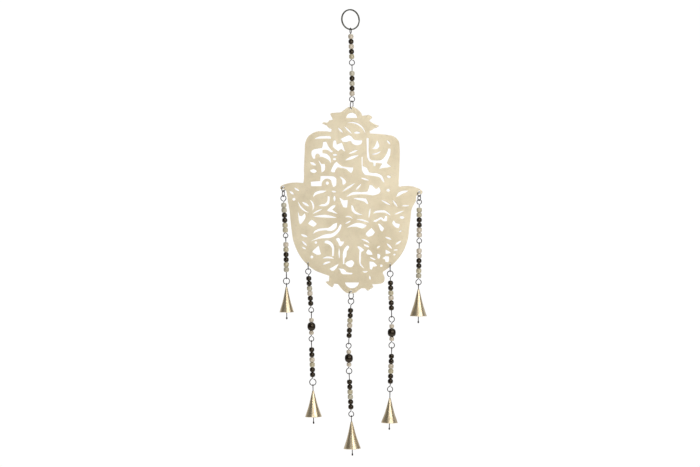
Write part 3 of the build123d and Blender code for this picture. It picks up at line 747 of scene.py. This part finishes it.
def addJumpRing(name, sizes):
    width, turn, lean = sizes
    low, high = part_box(name)
    middle = (low + high) / 2
    up = Vector((-math.sin(math.radians(lean)), 0, math.cos(math.radians(lean))))
    radius = eyeRadius(width)
    opening = math.degrees(ringShape["mouth"] / radius)
    side = across(up, turn)
    through = side.cross(up)
    points = []
    for step in range(ringShape["steps"] + 1):
        share = step / ringShape["steps"]
        angle = math.radians(opening / 2 + (360 - opening) * share)
        drift = ringShape["offset"] * (share - 0.5)
        spot = side * math.cos(angle) * radius + up * math.sin(angle) * radius + through * drift
        points.append(middle + spot * millimetre)
    radii = [wire["diameter"] / 2] * len(points)
    ring = addTube(f"{name}_round", points, through, radii, wire["corners"])
    dress(ring, name, name)


for ringName, ringSizes in jumpRings.items():
    addJumpRing(ringName, ringSizes)

# Split ring: a flat band with rounded corners wound nearly twice round
splitRing = {
    "outerWidth": 31.5,
    "bandWidth": 2.0,
    "bandThickness": 0.8,
    "turnGap": 0.15,
    "turns": 1.92,
    "turned": 28,
    "corner": 0.28,
    "cornerSteps": 3,
    "stepsPerTurn": 120,
}


def bandSection(sizes):
    corner = sizes["corner"]
    wide = sizes["bandWidth"] / 2 - corner
    thick = sizes["bandThickness"] / 2 - corner
    section = []
    for quarter, (x, y) in enumerate(((1, 1), (-1, 1), (-1, -1), (1, -1))):
        for step in range(sizes["cornerSteps"] + 1):
            angle = math.radians(90 * (quarter + step / sizes["cornerSteps"]))
            section.append(
                (x * wide + corner * math.cos(angle), y * thick + corner * math.sin(angle))
            )
    return section


def addSplitRing(sizes):
    pitch = sizes["bandThickness"] + sizes["turnGap"]
    radius = (sizes["outerWidth"] - sizes["bandWidth"]) / 2
    turned = math.radians(sizes["turned"])
    side = Vector((math.cos(turned), math.sin(turned), 0))
    normal = Vector((math.sin(turned), -math.cos(turned), 0))
    up = Vector((0, 0, 1))
    section = bandSection(sizes)
    steps = round(sizes["stepsPerTurn"] * sizes["turns"])
    rows = []
    for step in range(steps + 1):
        turns = sizes["turns"] * step / steps
        angle = 2 * math.pi * turns
        outward = side * math.cos(angle) + up * math.sin(angle)
        middle = outward * radius + normal * (pitch * (turns - sizes["turns"] / 2))
        rows.append([(middle + outward * x + normal * y) * millimetre for x, y in section])
    ring = addSkin("split_ring_band", rows, ringSteel)
    dress(ring, "split_ring", "split_ring")


addSplitRing(splitRing)
print("stage: rings")

# Bells, as width and height in shares, upper eye and its neck, and where the lap seam lies
bells = {
    "outer_left": (0.87, 0.95, 0.62, 0.08, 262),
    "inner_left": (1.0, 0.98, 0.93, 0.15, 250),
    "centre": (1.03, 1.02, 0.8, 0.23, 268),
    "inner_right": (1.0, 0.93, 0.87, 0.36, 285),
    "outer_right": (1.02, 1.02, 0.83, 0.07, 290),
}
bellShape = {
    "width": 25.0,
    "height": 39.8,
    "apexRadius": 1.2,
    "wall": 0.6,
    "holeRadius": 0.76,
    "lap": 0.5,
    "lapStart": 0.9,
    "lapGrowth": 4,
    "rows": 30,
    "columns": 96,
    "waistDepth": 0.58,
    "waistWidth": 0.54,
    "waistBlend": 0.05,
    "dent": 0.2,
    "dentScale": 60,
    "rimSteps": 4,
    "rimRound": 0.3,
}
hangerShape = {"innerWidth": 5.6, "clearance": 0.3, "hang": 1.45, "turn": 90}
clapperShape = {
    "eyeWidth": 5.6,
    "belowRim": 11.0,
    "tipWidth": 2.5,
    "tipHeight": 4.0,
    "pointRadius": 0.02,
    "steps": 12,
    "corners": 14,
}


# Radius gained per millimetre of depth, above the waist and below it
def bellSlopes(radius, height):
    waist = bellShape["waistWidth"] * radius
    depth = bellShape["waistDepth"] * height
    return (waist - bellShape["apexRadius"]) / depth, (radius - waist) / (height - depth)


# The wall is measured sideways, where the bell is widest
def bellWall(radius, height):
    lower = bellSlopes(radius, height)[1]
    return bellShape["wall"] * math.sqrt(1 + lower**2)


def bellRadius(radius, height, share):
    upper, lower = bellSlopes(radius, height)
    blend = bellShape["waistBlend"]
    past = blend * math.log(1 + math.exp((share - bellShape["waistDepth"]) / blend))
    return min(bellShape["apexRadius"] + (upper * share + (lower - upper) * past) * height, radius)


# From the apex down the outside, round the rim and up the inside to the hole. Each point
# is a distance from the axis, a depth and a share of the height.
def bellProfile(radius, height):
    half = bellWall(radius, height) / 2
    levels = [row / bellShape["rows"] for row in range(bellShape["rows"] + 1)]
    profile = [(bellRadius(radius, height, share), height * share, share) for share in levels]
    for step in range(1, bellShape["rimSteps"]):
        angle = math.pi * step / bellShape["rimSteps"]
        depth = height + half * math.sin(angle) * bellShape["rimRound"]
        profile.append((radius - half + half * math.cos(angle), depth, 1))
    for share in levels[:0:-1]:
        inside = bellRadius(radius, height, share) - 2 * half
        profile.append((max(inside, bellShape["holeRadius"]), height * share, share))
    profile.append((bellShape["holeRadius"], 0, 0))
    return profile


def addBell(name, apex, up, radius, height, seam):
    side = across(up, seam)
    other = side.cross(up)
    lapStart = bellShape["lapStart"]
    rows = []
    for distance, depth, share in bellProfile(radius, height):
        growth = min(share * bellShape["lapGrowth"], 1)
        row = []
        for column in range(bellShape["columns"]):
            turn = column / bellShape["columns"]
            angle = 2 * math.pi * turn
            way = side * math.cos(angle) + other * math.sin(angle)
            lift = 0
            if turn > lapStart and distance > bellShape["apexRadius"]:
                lift = bellShape["lap"] * ((turn - lapStart) / (1 - lapStart))
            where = apex + (way * distance - up * depth) * millimetre
            dent = noise.noise(where * bellShape["dentScale"]) * bellShape["dent"] * share
            kept = distance + lift * growth + min(dent, 0)
            row.append(apex + (way * kept - up * depth) * millimetre)
        rows.append(row)
    return addSkin(name, rows, bellBrass, closed=True, mapped=True)


# The clapper's eye hangs in the hook, and its rod ends in a belly with a point
def addClapper(name, hook, up, tip):
    eye = clapperShape["eyeWidth"]
    middle = hook - up * ((eyeRadius(eye) - hangerShape["hang"]) * millimetre)
    shaftTop = middle - up * (eyeNeck(eye) * millimetre)
    shaft = (tip - shaftTop).length / millimetre
    points = placed(eyeCurve(shaft, eye)[::-1], tip, up, hangerShape["turn"])
    radii = [wire["diameter"] / 2] * len(points)
    for step in range(clapperShape["steps"] + 1):
        share = 1 - step / clapperShape["steps"]
        points.append(tip + up * (clapperShape["tipHeight"] * share * millimetre))
        belly = math.sqrt(1 - (2 * share - 1) ** 2) * clapperShape["tipWidth"] / 2
        least = wire["diameter"] / 2 if share > 0.5 else clapperShape["pointRadius"]
        radii.append(max(belly, least))
    through = across(up, hangerShape["turn"]).cross(up)
    return addTube(name, points, through, radii, clapperShape["corners"])


def addHungBell(name, sizes):
    widthShare, heightShare, eyeShare, neckShare, seam = sizes
    apex, up = jointPlace(f"{name}_bell_spin")
    radius = bellShape["width"] * widthShare / 2
    height = bellShape["height"] * heightShare
    slope = bellSlopes(radius, height)[0]
    wall = bellWall(radius, height)
    # The inner eye sits as high in the cone as its corners allow
    inner = hangerShape["innerWidth"]
    reach = eyeRadius(inner) * wire["cornerShare"] + wire["diameter"] / 2
    depth = (reach + hangerShape["clearance"] + wall - bellShape["apexRadius"]) / slope
    hanger = addEyedWire(
        f"{name}_round_hanger",
        apex,
        up,
        (hangerShape["turn"], wire["eyeWidth"] * neckShare, wire["eyeWidth"] * eyeShare),
        (hangerShape["turn"] + 90, depth - eyeNeck(inner), inner),
    )
    dress(hanger, f"{name}_bell_hanger", f"{name}_bell_hanger")
    shell = addBell(f"{name}_bell_shell", apex, up, radius, height, seam)
    dress(shell, f"{name}_bell", f"{name}_bell")
    hook = apex - up * ((depth + eyeRadius(inner)) * millimetre)
    tip = apex - up * ((height + clapperShape["belowRim"]) * millimetre)
    clapper = addClapper(f"{name}_round_clapper", hook, up, tip)
    dress(clapper, f"{name}_clapper", f"{name}_clapper")


for bellName, bellSizes in bells.items():
    addHungBell(bellName, bellSizes)
print("stage: bells")

# Plate: the same pierced sheet with its sharp edges just broken, in metres
plateEdge = {"width": 0.00022, "segments": 2, "angle": 40}


def addPlate(sizes):
    mesh = frame["nodes"]["hamsa_plate"].data.copy()
    mesh.materials.clear()
    mesh.materials.append(plateGold)
    plate = bpy.data.objects.new("pierced_hand", mesh)
    bpy.context.scene.collection.objects.link(plate)
    bevel = plate.modifiers.new("broken_edge", "BEVEL")
    bevel.width = sizes["width"]
    bevel.segments = sizes["segments"]
    bevel.limit_method = "ANGLE"
    bevel.angle_limit = math.radians(sizes["angle"])
    dress(plate, "hamsa_plate", "hamsa_plate")


addPlate(plateEdge)

# Floor: a wide round well below the ornament, in metres
floorShape = {"level": -1.05, "reach": 2.9, "corners": 90}


def addFloor(sizes):
    reach, count = sizes["reach"], sizes["corners"]
    turns = [2 * math.pi * corner / count for corner in range(count)]
    points = [(reach * math.cos(turn), reach * math.sin(turn), sizes["level"]) for turn in turns]
    mesh = bpy.data.meshes.new("floor")
    mesh.from_pydata(points, [], [list(range(count))])
    mesh.materials.append(floorWhite)
    floor = bpy.data.objects.new("floor", mesh)
    bpy.context.scene.collection.objects.link(floor)


addFloor(floorShape)
print("stage: plate and floor")
